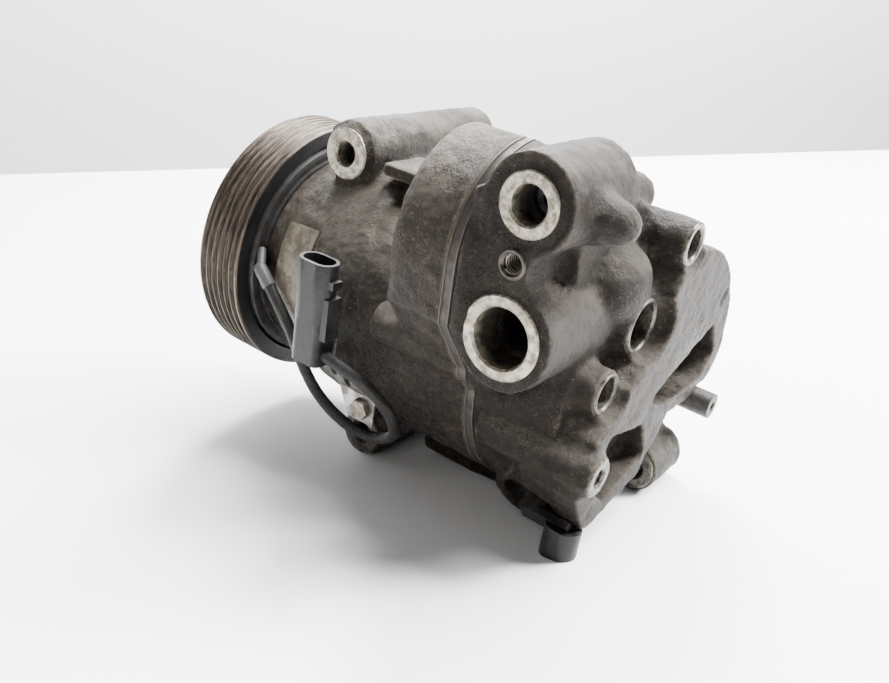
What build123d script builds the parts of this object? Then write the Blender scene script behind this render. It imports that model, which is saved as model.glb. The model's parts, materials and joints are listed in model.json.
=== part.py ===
from build123d import *
import os
from math import asin, atan2, cos, degrees, hypot, radians, sin, sqrt

os.makedirs("parts", exist_ok=True)

# Car air-conditioning compressor, variable displacement, with a magnetic clutch. Millimetres.
# +X runs along the shaft from the pulley to the rear head, -Y is the side that the refrigerant
# ports and the mounting bolts face, +Z is up. The origin is on the shaft, in the belt's middle plane.

# ---------------------------------------------------------------- driving dimensions
rib_count = 6
rib_pitch = 3.56
pulley_r = 57.4
pulley_half = 11.8
groove_depth = 3.0

bearing_half = 9.0
bearing_bore_r = 15.0
bearing_outer_r = 26.0
ball_r = 3.6
ball_pitch_r = 20.5
ball_count = 12

nose_front = -11.6
coil_face = 13.5
crankcase_r = 55.2
chamber_r = 45.0
block_seat_r = 47.2
block_front = 88.0
joint_x = 132.0
gasket_t = 0.5
plate_t = 3.0
head_front = joint_x + 2 * gasket_t + plate_t
head_rear = 184.0

shaft_r = 8.5
run_gap = 0.04
air_gap = 0.4

port_face_y = -77.7
discharge_x, discharge_z = 155.6, 77.4
suction_x, suction_z = 154.5, 33.6
discharge_r, suction_r, port_depth = 6.4, 10.3, 14.0
valve_seat_r = 5.7
port_thread_x, port_thread_z = 153.8, 58.2

upper_lug_x, upper_lug_z = 41.4, 56.9
lower_lug_x, lower_lug_z = 69.7, -59.3

bolt_spots = [(-56, 10), (-5, 60), (53, 24), (40, -42), (-8, -58)]
ear_r = 8.0
ear_front, thread_start = 91.0, 104.0
bolt_r = 3.0
flange_rear, tall_seat = 146.0, 173.0
bolt_seats = [flange_rear, tall_seat, flange_rear, flange_rear, flange_rear]

piston_count = 6
piston_pitch_r = 30.5
piston_r = 14.0
swash_front, swash_rear = 73.0, 79.0
swash_r = 39.5


# ---------------------------------------------------------------- shared outlines
def lobe_face(grow=0.0):
    """Port-side lobe of the joint, flat towards the ports and round at its top corner."""
    side = Polyline((-52 - grow, -6), (-80 - grow, 31), (-81 - grow, 52))
    corner = ThreePointArc((-81 - grow, 52), (-71 - grow, 77 + grow), (-47, 89 + grow))
    back = Polyline((-47, 89 + grow), (-12, 74), (22, 50), (0, 0), (-52 - grow, -6))
    return make_face(Curve() + [side, corner, back])


lobe = lobe_face()
lobe_edge = lobe_face(-1.0)
lobe_inset = lobe_face(-0.4)


def joint_outline(face, grow=0.0):
    """Outline of the bolted joint: the round crankcase, its bolt ears and the port-side lobe."""
    Circle(crankcase_r + grow)
    for y, z in bolt_spots:
        with Locations((y, z)):
            Circle(ear_r + grow)
    add(face)


def bolt_holes(radius):
    """The through-bolt holes of the joint."""
    for y, z in bolt_spots:
        with Locations((y, z)):
            Circle(radius)


def save(piece, name):
    """Label a finished piece and write its STEP file."""
    piece.part.label = name
    export_step(piece.part, f"parts/{name}.step")


# ---------------------------------------------------------------- front housing
# One aluminium casting: bearing nose, crankcase, mounting sleeves, bolt ears and port-side lobe.
upper_face_y, upper_end_y = -29.8, 59.0
foot_y = 46.0
lower_face_y, lower_end_y = -33.0, 52.0
with BuildPart() as front_housing:
    with BuildSketch(Plane.XY):
        Polygon(
            (nose_front, 0), (nose_front, bearing_bore_r), (bearing_half, bearing_bore_r),
            (bearing_half, 19), (coil_face, 19), (coil_face, 43.6), (17, 44.6), (22, 46), (34, 49.6),
            (50, 53.2), (66, crankcase_r), (joint_x, crankcase_r), (joint_x, 0),
            align=None,
        )
    revolve(axis=Axis.X)
    for y, z in bolt_spots:
        with BuildSketch(Plane.YZ.offset(ear_front)):
            with Locations((y, z)):
                Circle(ear_r)
        extrude(amount=joint_x - ear_front)
    with BuildSketch(Plane.YZ.offset(109)):
        add(lobe_edge)
    with BuildSketch(Plane.YZ.offset(112)):
        add(lobe)
    loft()
    with BuildSketch(Plane.YZ.offset(112)):
        add(lobe)
    extrude(amount=joint_x - 112)
    # upper mounting sleeve with its raised face ring and its web
    with BuildSketch(Plane.XZ.offset(27)):
        with Locations((upper_lug_x, upper_lug_z)):
            Circle(13.6)
    extrude(amount=-(27 + upper_end_y), taper=0.5)
    with BuildSketch(Plane.XZ.offset(-upper_face_y)):
        with Locations((upper_lug_x, upper_lug_z)):
            Circle(10.4)
    extrude(amount=-4, taper=-25)
    with BuildSketch(Plane.XZ.offset(20)):
        with Locations((upper_lug_x, 41)):
            Rectangle(15, 30)
    extrude(amount=-60)
    # lower mounting sleeve
    with BuildSketch(Plane.XZ.offset(30)):
        with Locations((lower_lug_x, lower_lug_z)):
            Circle(11.8)
    extrude(amount=-(30 + lower_end_y))
    with BuildSketch(Plane.XZ.offset(-lower_face_y)):
        with Locations((lower_lug_x, lower_lug_z)):
            Circle(9.8)
    extrude(amount=-4)
    with BuildSketch(Plane.XZ.offset(24)):
        with Locations((lower_lug_x, -47)):
            Rectangle(18, 20)
    extrude(amount=-62)
    # screw boss of the connector bracket, and a casting rib beside the upper sleeve
    with BuildSketch(Plane.XZ.offset(foot_y)):
        with Locations((80, -37)):
            Circle(6)
    extrude(amount=-15)
    with BuildSketch(Plane.XZ.offset(30)):
        with Locations((71, 50)):
            Rectangle(20, 18)
    extrude(amount=-24)
    # hollow under that rib
    with BuildSketch(Plane.XZ.offset(34)):
        with Locations((69, 49)):
            Rectangle(20, 9)
    extrude(amount=-14, mode=Mode.SUBTRACT)
    # crank chamber, block seat and nose bore
    with BuildSketch(Plane.XY):
        Polygon(
            (nose_front, 0), (nose_front, 12), (27, 12), (27, 34), (30, 34), (34, chamber_r),
            (block_front, chamber_r), (block_front, block_seat_r), (joint_x, block_seat_r), (joint_x, 0),
            align=None,
        )
    revolve(axis=Axis.X, mode=Mode.SUBTRACT)
    # grooves of the bearing snap ring and the seal's snap ring
    with BuildSketch(Plane.XY):
        Polygon((-10.6, 14), (-9.2, 14), (-9.2, 15.5), (-10.6, 15.5), align=None)
        Polygon((-5.6, 11.5), (-4.2, 11.5), (-4.2, 13), (-5.6, 13), align=None)
    revolve(axis=Axis.X, mode=Mode.SUBTRACT)
    # mounting bores, bolt holes, bracket screw hole, oil drain hole
    with BuildSketch(Plane.XZ.offset(40)):
        with Locations((upper_lug_x, upper_lug_z)):
            Circle(4.9)
        with Locations((lower_lug_x, lower_lug_z)):
            Circle(5.2)
    extrude(amount=-110, mode=Mode.SUBTRACT)
    with BuildSketch(Plane.YZ.offset(thread_start)):
        bolt_holes(bolt_r)
    extrude(amount=joint_x - thread_start, mode=Mode.SUBTRACT)
    with BuildSketch(Plane.XZ.offset(foot_y + 1)):
        with Locations((80, -37)):
            Circle(2.5)
    extrude(amount=-12, mode=Mode.SUBTRACT)
    with BuildSketch(Plane.XY.offset(60)):
        with Locations((88, 20)):
            Circle(5)
    extrude(amount=-10, mode=Mode.SUBTRACT)
save(front_housing, "front_housing")

# ---------------------------------------------------------------- joint: plate, gaskets, reeds, bolts
def bolt_holes_cut(radius):
    """The bolt holes, cut from the sketch being made."""
    for y, z in bolt_spots:
        with Locations((y, z)):
            Circle(radius, mode=Mode.SUBTRACT)


with BuildPart() as front_gasket:
    with BuildSketch(Plane.YZ.offset(joint_x)):
        joint_outline(lobe)
        bolt_holes_cut(bolt_r + 0.4)
        Circle(47.0, mode=Mode.SUBTRACT)
    extrude(amount=gasket_t)
save(front_gasket, "front_gasket")

with BuildPart() as suction_reeds:
    with BuildSketch(Plane.YZ.offset(joint_x)):
        Circle(46.8)
        Circle(5, mode=Mode.SUBTRACT)
        with PolarLocations(piston_pitch_r, piston_count, start_angle=30):
            SlotOverall(20, 9, mode=Mode.SUBTRACT)
        with PolarLocations(piston_pitch_r, piston_count, start_angle=30):
            SlotOverall(16, 6)
        with PolarLocations(piston_pitch_r + 9.4, piston_count, start_angle=30):
            Rectangle(4, 6)
    extrude(amount=gasket_t)
save(suction_reeds, "suction_reeds")

with BuildPart() as valve_plate:
    with BuildSketch(Plane.YZ.offset(joint_x + gasket_t)):
        joint_outline(lobe_inset, -0.4)
        bolt_holes_cut(bolt_r + 0.4)
        with PolarLocations(piston_pitch_r + 6, piston_count, start_angle=30):
            Circle(3.2, mode=Mode.SUBTRACT)
        with PolarLocations(20, piston_count, start_angle=30):
            Circle(2.6, mode=Mode.SUBTRACT)
    extrude(amount=plate_t)
save(valve_plate, "valve_plate")

with BuildPart() as discharge_reeds:
    with BuildSketch(Plane.YZ.offset(head_front - gasket_t)):
        with PolarLocations(12.5, piston_count, start_angle=30):
            SlotOverall(20, 6.4)
        Circle(9)
    extrude(amount=0.4)
    with BuildSketch(Plane.YZ.offset(head_front - gasket_t + 0.4)):
        Circle(15.5)
    extrude(amount=1.2)
save(discharge_reeds, "discharge_reeds")

with BuildPart() as rear_gasket:
    with BuildSketch(Plane.YZ.offset(head_front - gasket_t)):
        joint_outline(lobe)
        bolt_holes_cut(bolt_r + 0.4)
        Circle(47.5, mode=Mode.SUBTRACT)
        Circle(27.5)
        Circle(24.5, mode=Mode.SUBTRACT)
    extrude(amount=gasket_t)
save(rear_gasket, "rear_gasket")

bolt_head = 6.0
with BuildPart() as through_bolts:
    for (y, z), seat in zip(bolt_spots, bolt_seats):
        with BuildSketch(Plane.YZ.offset(thread_start + 2)):
            with Locations((y, z)):
                Circle(bolt_r)
        extrude(amount=seat - thread_start - 2)
        with BuildSketch(Plane.YZ.offset(seat)):
            with Locations((y, z)):
                Circle(5.2)
        extrude(amount=bolt_head)
        with BuildSketch(Plane.YZ.offset(seat + bolt_head)):
            with Locations((y, z)):
                RegularPolygon(2.9, 6)
        extrude(amount=-3.4, mode=Mode.SUBTRACT)
save(through_bolts, "through_bolts")

# ---------------------------------------------------------------- rear head
# Aluminium casting with the port block, valve bore, bolt bosses, end plate and pockets.
valve_axis = Vector(0, -0.84, -0.5426)
valve_mouth = Vector(161, -44, -41)
valve_plane = Plane(origin=valve_mouth, x_dir=(1, 0, 0), z_dir=valve_axis)
boss_list = [  # y, z, outer radius, rear end x, hole radius, hole depth
    (-5, 60, 8.6, 182, 5.6, 182 - tall_seat),
    (-20, 31, 11.2, 177, 8.8, 22),
    (-42, 12.5, 8.6, 179, 6.2, 20),
    (-50, -14, 8.0, 187, 3.4, 14),
]
relief_y, relief_z, relief_r = 44, -18, 5.4
lug_x, lug_z, lug_r, lug_far_y, lug_length = 175, -42.5, 11.0, 39.0, 26.0
passage_plane = Plane(origin=(0, -60, 75.5), x_dir=(1, 0, 0), z_dir=(0, 0, 1))
plug_x, plug_y, plug_low, plug_top = 177.5, -46.5, -55.0, -41.0
with BuildPart() as rear_head:
    with BuildSketch(Plane.YZ.offset(head_front)):
        joint_outline(lobe)
    extrude(amount=flange_rear - head_front)
    with BuildSketch(Plane.YZ.offset(head_front)):
        Circle(54)
    extrude(amount=34)
    # port block: two round port bosses joined by a neck
    with BuildSketch(Plane.XZ.offset(-port_face_y)):
        with Locations((discharge_x, discharge_z)):
            Circle(16)
        with Locations((suction_x, suction_z)):
            Circle(18.4)
        with Locations((148, 55)):
            Rectangle(24, 46)
    extrude(amount=-42)
    # discharge passage running back from the upper port, with a domed end
    with BuildSketch(passage_plane):
        Polygon((150, 0), (150, 12), (164, 11), (174, 8), (180, 6), (183, 3.6), (184, 0), align=None)
    revolve(axis=Axis(passage_plane.origin, (1, 0, 0)))
    # gusset from the passage down to the drum
    with BuildSketch(Plane.YZ.offset(140)):
        Polygon((-60, 70), (-40, 84), (-5, 66), (-5, 30), (-50, 30), align=None)
    extrude(amount=26)
    # round bulge over the open boss
    with Locations((163, -28, 45)):
        Sphere(16)
    # end plate
    with BuildSketch(Plane.YZ.offset(160)):
        with BuildLine():
            ThreePointArc((-6, 57), (42, 38.5), (56, -3))
            Polyline((56, -3), (44, -13), (12, -13), (-3, -35), (-44, -42), (-57, -22), (-50, -2), (-20, 22))
            Polyline((-20, 22), (-14, 44), (-6, 57))
        make_face()
    extrude(amount=head_rear - 160)
    for y, z, outer_r, end_x, hole_r, depth in boss_list:
        with BuildSketch(Plane.YZ.offset(140)):
            with Locations((y, z)):
                Circle(outer_r)
        extrude(amount=end_x - 140)
    # valve boss
    with BuildSketch(valve_plane):
        Circle(16)
    extrude(amount=-38)
    # far rear mounting lug
    with BuildSketch(Plane.XZ.offset(-lug_far_y)):
        with Locations((lug_x, lug_z)):
            Circle(lug_r)
    extrude(amount=lug_length)
    with BuildSketch(Plane.XZ.offset(-36)):
        with Locations((165, -32)):
            Rectangle(22, 18)
    extrude(amount=20)
    # boss of the relief valve
    with BuildSketch(Plane.YZ.offset(140)):
        with Locations((relief_y, relief_z)):
            Circle(8.5)
    extrude(amount=32)
    # lump with a hole on top, beside the bolt boss
    with BuildSketch(Plane.XZ.offset(22)):
        with Locations((148, 66)):
            Circle(9.5)
    extrude(amount=-34)
    # ---- cuts
    # the ports' machined face runs across the flange almost to the joint
    with BuildSketch(Plane.YZ.offset(139.5)):
        Polygon((-90, -20), (port_face_y, -20), (port_face_y, 95), (-90, 95), align=None)
    extrude(amount=30, mode=Mode.SUBTRACT)
    with BuildSketch(Plane.XY):
        Polygon((head_front, 0), (head_front, 24), (152, 24), (152, 0), align=None)
        Polygon((head_front, 28), (head_front, 46.5), (150, 46.5), (150, 28), align=None)
    revolve(axis=Axis.X, mode=Mode.SUBTRACT)
    with BuildSketch(Plane.XZ.offset(-port_face_y)):
        with Locations((discharge_x, discharge_z)):
            Circle(discharge_r)
        with Locations((suction_x, suction_z)):
            Circle(suction_r)
    extrude(amount=-port_depth, mode=Mode.SUBTRACT)
    with BuildSketch(Plane.XZ.offset(-port_face_y)):
        with Locations((discharge_x, discharge_z)):
            Circle(valve_seat_r)
    extrude(amount=-26, mode=Mode.SUBTRACT)
    with BuildSketch(Plane.XZ.offset(-port_face_y)):
        with Locations((suction_x, suction_z)):
            Circle(suction_r - 1.5)
    extrude(amount=-44, mode=Mode.SUBTRACT)
    with BuildSketch(Plane.XZ.offset(-port_face_y)):
        with Locations((port_thread_x, port_thread_z)):
            Circle(3.4)
    extrude(amount=-18, mode=Mode.SUBTRACT)
    # recess round each machined port ring
    with BuildSketch(Plane.XZ.offset(-port_face_y)):
        with Locations((discharge_x, discharge_z)):
            Circle(14.2)
            Circle(10.4, mode=Mode.SUBTRACT)
        with Locations((suction_x, suction_z)):
            Circle(16.9)
            Circle(14.3, mode=Mode.SUBTRACT)
    extrude(amount=-1.6, mode=Mode.SUBTRACT)
    # drilled passage from the discharge chamber to the upper port
    passage_start = Vector(discharge_x, -53, discharge_z)
    passage_end = Vector(146, -8, 8)
    with BuildSketch(Plane(origin=passage_start, z_dir=passage_end - passage_start)):
        Circle(4.5)
    extrude(amount=(passage_end - passage_start).length, mode=Mode.SUBTRACT)
    for y, z, outer_r, end_x, hole_r, depth in boss_list:
        with BuildSketch(Plane.YZ.offset(end_x)):
            with Locations((y, z)):
                Circle(hole_r)
        extrude(amount=-depth, mode=Mode.SUBTRACT)
        with BuildSketch(Plane.YZ.offset(end_x)):
            with Locations((y, z)):
                Circle(outer_r + 1)
        extrude(amount=12, mode=Mode.SUBTRACT)
    for (y, z), seat in zip(bolt_spots, bolt_seats):
        with BuildSketch(Plane.YZ.offset(head_front)):
            with Locations((y, z)):
                Circle(bolt_r + 0.4)
        extrude(amount=seat - head_front, mode=Mode.SUBTRACT)
        with BuildSketch(Plane.YZ.offset(seat)):
            with Locations((y, z)):
                Circle(5.6)
        extrude(amount=9, mode=Mode.SUBTRACT)
    # deep pocket in the end plate, and the shallow relief that leaves a rim
    with BuildSketch(Plane.YZ.offset(head_rear)):
        with BuildLine():
            Polyline((-12, 0), (38, 19), (48, 4), (39, -6), (4, -6), (-12, 0))
        make_face()
        fillet(vertices(), 2.5)
    extrude(amount=-26, mode=Mode.SUBTRACT)
    with BuildSketch(Plane.YZ.offset(head_rear)):
        with BuildLine():
            Polyline((-12, -9), (-2, -26), (-32, -34), (-42, -26), (-40, -4), (-12, -9))
        make_face()
        fillet(vertices(), 2.5)
    extrude(amount=-10, mode=Mode.SUBTRACT)
    with BuildSketch(Plane.YZ.offset(head_rear)):
        with Locations((40, 30)):
            SlotOverall(10, 4, rotation=60)
    extrude(amount=-2, mode=Mode.SUBTRACT)
    # control valve bore
    with BuildSketch(valve_plane.offset(6)):
        Circle(11.6)
    extrude(amount=-14, mode=Mode.SUBTRACT)
    with BuildSketch(valve_plane.offset(-8)):
        Circle(9.6)
    extrude(amount=-34, mode=Mode.SUBTRACT)
    # room for the plug beside the valve's mouth
    with BuildSketch(Plane.XY.offset(plug_low - 6)):
        with Locations((plug_x, plug_y)):
            SlotOverall(14.8, 11.8)
    extrude(amount=plug_top - plug_low + 6.4, mode=Mode.SUBTRACT)
    # holes of the far lug, the relief valve and the top lump
    with BuildSketch(Plane.XZ.offset(-lug_far_y)):
        with Locations((lug_x, lug_z)):
            Circle(5.2)
    extrude(amount=lug_length + 2, mode=Mode.SUBTRACT)
    with BuildSketch(Plane.YZ.offset(172)):
        with Locations((relief_y, relief_z)):
            Circle(relief_r)
    extrude(amount=-14, mode=Mode.SUBTRACT)
    with BuildSketch(Plane.YZ.offset(172)):
        with Locations((relief_y, relief_z)):
            Circle(7.8)
    extrude(amount=14, mode=Mode.SUBTRACT)
    with BuildSketch(Plane.XZ.offset(22)):
        with Locations((148, 66)):
            Circle(4.2)
    extrude(amount=-14, mode=Mode.SUBTRACT)
save(rear_head, "rear_head")

# ---------------------------------------------------------------- control valve and relief valve
with BuildPart() as control_valve:
    with BuildSketch(valve_plane.offset(-8)):
        Circle(9.6)
    extrude(amount=-10)
    with BuildSketch(valve_plane.offset(-18)):
        Circle(7.6)
    extrude(amount=-22)
    with BuildSketch(valve_plane.offset(-8)):
        Circle(9.0)
    extrude(amount=1.6)
    with BuildSketch(valve_plane.offset(-26)):
        Circle(9.0)
        Circle(7.6, mode=Mode.SUBTRACT)
    extrude(amount=-2)
save(control_valve, "control_valve")

with BuildPart() as valve_o_rings:
    for depth in (21.5, 31.5):
        with BuildSketch(valve_plane.offset(-depth)):
            Circle(9.6)
            Circle(7.6, mode=Mode.SUBTRACT)
        extrude(amount=-1.8)
save(valve_o_rings, "valve_o_rings")

with BuildPart() as valve_snap_ring:
    with BuildSketch(valve_plane.offset(-6.6)):
        Circle(11.6)
        Circle(9.4, mode=Mode.SUBTRACT)
        with Locations((0, 10.5)):
            Rectangle(5, 4, mode=Mode.SUBTRACT)
    extrude(amount=1.3)
save(valve_snap_ring, "valve_snap_ring")

with BuildPart() as valve_plug:
    with BuildSketch(valve_plane.offset(-6)):
        Circle(9.2)
    extrude(amount=2)
    with BuildSketch(valve_plane.offset(-6)):
        with Locations((3, 0)):
            Rectangle(9, 9)
    extrude(amount=10)
    with BuildSketch(valve_plane.offset(1.2)):
        with Locations((9, 0)):
            Rectangle(20, 9)
    extrude(amount=3)
    with BuildSketch(Plane.XY.offset(plug_low)):
        with Locations((plug_x, plug_y)):
            SlotOverall(14, 11)
    extrude(amount=plug_top - plug_low)
    with BuildSketch(Plane.XY.offset(plug_low)):
        with Locations((plug_x, plug_y)):
            SlotOverall(11.2, 8.2)
    extrude(amount=8, mode=Mode.SUBTRACT)
save(valve_plug, "valve_plug")

with BuildPart() as relief_valve:
    with BuildSketch(Plane.YZ.offset(160)):
        with Locations((relief_y, relief_z)):
            Circle(relief_r)
    extrude(amount=31)
    with BuildSketch(Plane.YZ.offset(172)):
        with Locations((relief_y, relief_z)):
            RegularPolygon(7, 6)
    extrude(amount=4)
    with BuildSketch(Plane.YZ.offset(191)):
        with Locations((relief_y, relief_z)):
            Circle(2)
    extrude(amount=-8, mode=Mode.SUBTRACT)
save(relief_valve, "relief_valve")

with BuildPart() as drain_plug:
    with BuildSketch(Plane.XY.offset(60)):
        with Locations((88, 20)):
            RegularPolygon(7, 6)
    extrude(amount=-5)
    with BuildSketch(Plane.XY.offset(55)):
        with Locations((88, 20)):
            Circle(5)
    extrude(amount=-4.5)
save(drain_plug, "drain_plug")

# ---------------------------------------------------------------- pulley rotor and bearing
with BuildPart() as pulley_rotor:
    with BuildSketch(Plane.XY):
        Polygon(
            (-pulley_half, 26.6), (-pulley_half, pulley_r - 0.6), (-pulley_half + 0.6, pulley_r),
            (pulley_half - 0.6, pulley_r), (pulley_half, pulley_r - 0.6), (pulley_half, 50.6), (-6.3, 50.6),
            (-6.3, 30.3), (bearing_half + 0.8, 30.3), (bearing_half + 0.8, 25), (bearing_half, 25),
            (bearing_half, bearing_outer_r), (-bearing_half, bearing_outer_r), (-bearing_half, 26.6),
            align=None,
        )
    revolve(axis=Axis.X)
    with BuildSketch(Plane.XY):
        for rib in range(rib_count):
            x = (rib - (rib_count - 1) / 2) * rib_pitch
            Polygon(
                (x - 1.6, pulley_r + 0.2), (x + 1.6, pulley_r + 0.2), (x + 0.45, pulley_r - groove_depth),
                (x - 0.45, pulley_r - groove_depth),
                align=None,
            )
    revolve(axis=Axis.X, mode=Mode.SUBTRACT)
    # curved slots that steer the coil's magnetic field through the armature
    for start in range(0, 360, 60):
        with BuildSketch(Plane.XY.rotated((start, 0, 0))):
            Polygon((-12, 37), (-6, 37), (-6, 39), (-12, 39), align=None)
        revolve(axis=Axis.X, revolution_arc=44, mode=Mode.SUBTRACT)
save(pulley_rotor, "pulley_rotor")

with BuildPart() as bearing_outer_race:
    with BuildSketch(Plane.XY):
        Polygon(
            (-bearing_half, 22.4), (-bearing_half, bearing_outer_r), (bearing_half, bearing_outer_r),
            (bearing_half, 22.4), align=None,
        )
        with Locations((0, ball_pitch_r)):
            Circle(ball_r + run_gap, mode=Mode.SUBTRACT)
    revolve(axis=Axis.X)
save(bearing_outer_race, "bearing_outer_race")

with BuildPart() as bearing_inner_race:
    with BuildSketch(Plane.XY):
        Polygon(
            (-bearing_half, bearing_bore_r), (-bearing_half, 18.6), (bearing_half, 18.6),
            (bearing_half, bearing_bore_r), align=None,
        )
        with Locations((0, ball_pitch_r)):
            Circle(ball_r + run_gap, mode=Mode.SUBTRACT)
    revolve(axis=Axis.X)
save(bearing_inner_race, "bearing_inner_race")

with BuildPart() as bearing_balls:
    for ball in range(ball_count):
        angle = radians(360 / ball_count * ball)
        with Locations((0, ball_pitch_r * cos(angle), ball_pitch_r * sin(angle))):
            Sphere(ball_r)
save(bearing_balls, "bearing_balls")

with BuildPart() as bearing_seals:
    with BuildSketch(Plane.XY):
        for x in (-8.2, 7.4):
            Polygon((x, 19.0), (x + 0.8, 19.0), (x + 0.8, 22.4), (x, 22.4), align=None)
    revolve(axis=Axis.X)
save(bearing_seals, "bearing_seals")

with BuildPart() as bearing_snap_ring:
    with BuildSketch(Plane.YZ.offset(-10.5)):
        Circle(17.6)
        Circle(14.2, mode=Mode.SUBTRACT)
        with Locations((0, 16)):
            Rectangle(7, 6, mode=Mode.SUBTRACT)
    extrude(amount=1.2)
save(bearing_snap_ring, "bearing_snap_ring")

# ---------------------------------------------------------------- clutch coil
with BuildPart() as coil_shell:
    with BuildSketch(Plane.XY):
        Polygon(
            (-5, 47.4), (-5, 49.4), (coil_face, 49.4), (coil_face, 47), (12.4, 47), (12.4, 44.4),
            (coil_face, 44.4), (coil_face, 19), (11.5, 19), (11.5, 31.2), (-5, 31.2), (-5, 33), (11.5, 33),
            (11.5, 47.4),
            align=None,
        )
    revolve(axis=Axis.X)
save(coil_shell, "coil_shell")

with BuildPart() as coil_winding:
    with BuildSketch(Plane.XY):
        Polygon((-4.2, 33), (-4.2, 47.4), (11.5, 47.4), (11.5, 33), align=None)
    revolve(axis=Axis.X)
save(coil_winding, "coil_winding")

with BuildPart() as coil_snap_ring:
    with BuildSketch(Plane.YZ.offset(10.1)):
        Circle(22)
        Circle(19, mode=Mode.SUBTRACT)
        with Locations((0, 21)):
            Rectangle(7, 6, mode=Mode.SUBTRACT)
    extrude(amount=1.4)
save(coil_snap_ring, "coil_snap_ring")

# ---------------------------------------------------------------- armature and hub
armature_rear = -pulley_half - air_gap
armature_front = armature_rear - 4
spring_front = -18.4
with BuildPart() as armature_plate:
    with BuildSketch(Plane.YZ.offset(armature_front)):
        Circle(50)
        Circle(28, mode=Mode.SUBTRACT)
        with PolarLocations(40, 3):
            Circle(2, mode=Mode.SUBTRACT)
    extrude(amount=4)
save(armature_plate, "armature_plate")

with BuildPart() as armature_springs:
    with BuildSketch(Plane.YZ.offset(spring_front)):
        Circle(25)
        with PolarLocations(34, 3):
            SlotOverall(24, 11)
        Circle(14, mode=Mode.SUBTRACT)
        with PolarLocations(40, 3):
            Circle(2, mode=Mode.SUBTRACT)
        with PolarLocations(20, 3, start_angle=60):
            Circle(2.6, mode=Mode.SUBTRACT)
    extrude(amount=0.5)
save(armature_springs, "armature_springs")

with BuildPart() as armature_rivets:
    with BuildSketch(Plane.YZ.offset(spring_front - 1.2)):
        with PolarLocations(40, 3):
            Circle(3.6)
    extrude(amount=1.2)
    with BuildSketch(Plane.YZ.offset(spring_front)):
        with PolarLocations(40, 3):
            Circle(2)
    extrude(amount=armature_rear - 0.8 - spring_front)
    with BuildSketch(Plane.YZ.offset(spring_front + 0.5)):
        with PolarLocations(40, 3):
            Circle(3.6)
            Circle(2, mode=Mode.SUBTRACT)
    extrude(amount=armature_front - spring_front - 0.5)
save(armature_rivets, "armature_rivets")

with BuildPart() as clutch_hub:
    with BuildSketch(Plane.YZ.offset(-22)):
        Circle(24)
        with PolarLocations(20, 3, start_angle=60):
            Circle(2, mode=Mode.SUBTRACT)
    extrude(amount=3)
    with BuildSketch(Plane.YZ.offset(-22)):
        Circle(11)
    extrude(amount=9.6)
    with BuildSketch(Plane.YZ.offset(-22)):
        Circle(6.5)
    extrude(amount=9.6, mode=Mode.SUBTRACT)
save(clutch_hub, "clutch_hub")

with BuildPart() as hub_rivets:
    with BuildSketch(Plane.YZ.offset(-23.2)):
        with PolarLocations(20, 3, start_angle=60):
            Circle(3.4)
    extrude(amount=1.2)
    with BuildSketch(Plane.YZ.offset(-22)):
        with PolarLocations(20, 3, start_angle=60):
            Circle(2)
    extrude(amount=5)
    with BuildSketch(Plane.YZ.offset(-17.2)):
        with PolarLocations(20, 3, start_angle=60):
            Circle(3.2)
    extrude(amount=0.9)
save(hub_rivets, "hub_rivets")

with BuildPart() as hub_nut:
    with BuildSketch(Plane.YZ.offset(-29.5)):
        RegularPolygon(7.5, 6)
    extrude(amount=6)
    with BuildSketch(Plane.YZ.offset(-23.5)):
        Circle(8.6)
    extrude(amount=1.5)
    with BuildSketch(Plane.YZ.offset(-30)):
        Circle(4)
    extrude(amount=10, mode=Mode.SUBTRACT)
save(hub_nut, "hub_nut")

# ---------------------------------------------------------------- shaft line
shaft_end = 126.0
with BuildPart() as drive_shaft:
    with BuildSketch(Plane.XY):
        Polygon(
            (-31, 0), (-31, 3.4), (-30.4, 4), (-22, 4), (-22, 6.5), (-9, 6.5), (-9, shaft_r),
            (shaft_end - 1, shaft_r), (shaft_end, shaft_r - 1), (shaft_end, 0), align=None,
        )
    revolve(axis=Axis.X)
save(drive_shaft, "drive_shaft")

def sleeve(x0, x1, inner_r, outer_r):
    """A plain ring about the shaft, drawn as a half section."""
    Polygon((x0, inner_r), (x0, outer_r), (x1, outer_r), (x1, inner_r), align=None)


with BuildPart() as shaft_seal:
    with BuildSketch(Plane.XY):
        Polygon(
            (-4.2, 9.6), (-4.2, 12), (6, 12), (6, 9.6), (1, 9.6), (0, shaft_r + run_gap),
            (-1, shaft_r + run_gap), (-2, 9.6), align=None,
        )
    revolve(axis=Axis.X)
save(shaft_seal, "shaft_seal")

with BuildPart() as seal_snap_ring:
    with BuildSketch(Plane.YZ.offset(-5.5)):
        Circle(12.8)
        Circle(10.2, mode=Mode.SUBTRACT)
        with Locations((0, 11.5)):
            Rectangle(5, 5, mode=Mode.SUBTRACT)
    extrude(amount=1.2)
save(seal_snap_ring, "seal_snap_ring")

with BuildPart() as front_radial_bearing:
    with BuildSketch(Plane.XY):
        sleeve(14, 26, shaft_r + run_gap, 12)
    revolve(axis=Axis.X)
save(front_radial_bearing, "front_radial_bearing")

with BuildPart() as rear_radial_bearing:
    with BuildSketch(Plane.XY):
        sleeve(108, 121, shaft_r + run_gap, 12)
    revolve(axis=Axis.X)
save(rear_radial_bearing, "rear_radial_bearing")

with BuildPart() as thrust_bearing:
    with BuildSketch(Plane.XY):
        sleeve(27, 28.5, 16, 33)
    revolve(axis=Axis.X)
    with BuildSketch(Plane.XY):
        sleeve(28.5, 31, 22, 31)
    revolve(axis=Axis.X)
save(thrust_bearing, "thrust_bearing")

with BuildPart() as rear_thrust_washer:
    with BuildSketch(Plane.XY):
        sleeve(shaft_end + 0.3, shaft_end + 2.3, 3, 9.5)
    revolve(axis=Axis.X)
save(rear_thrust_washer, "rear_thrust_washer")

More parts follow.
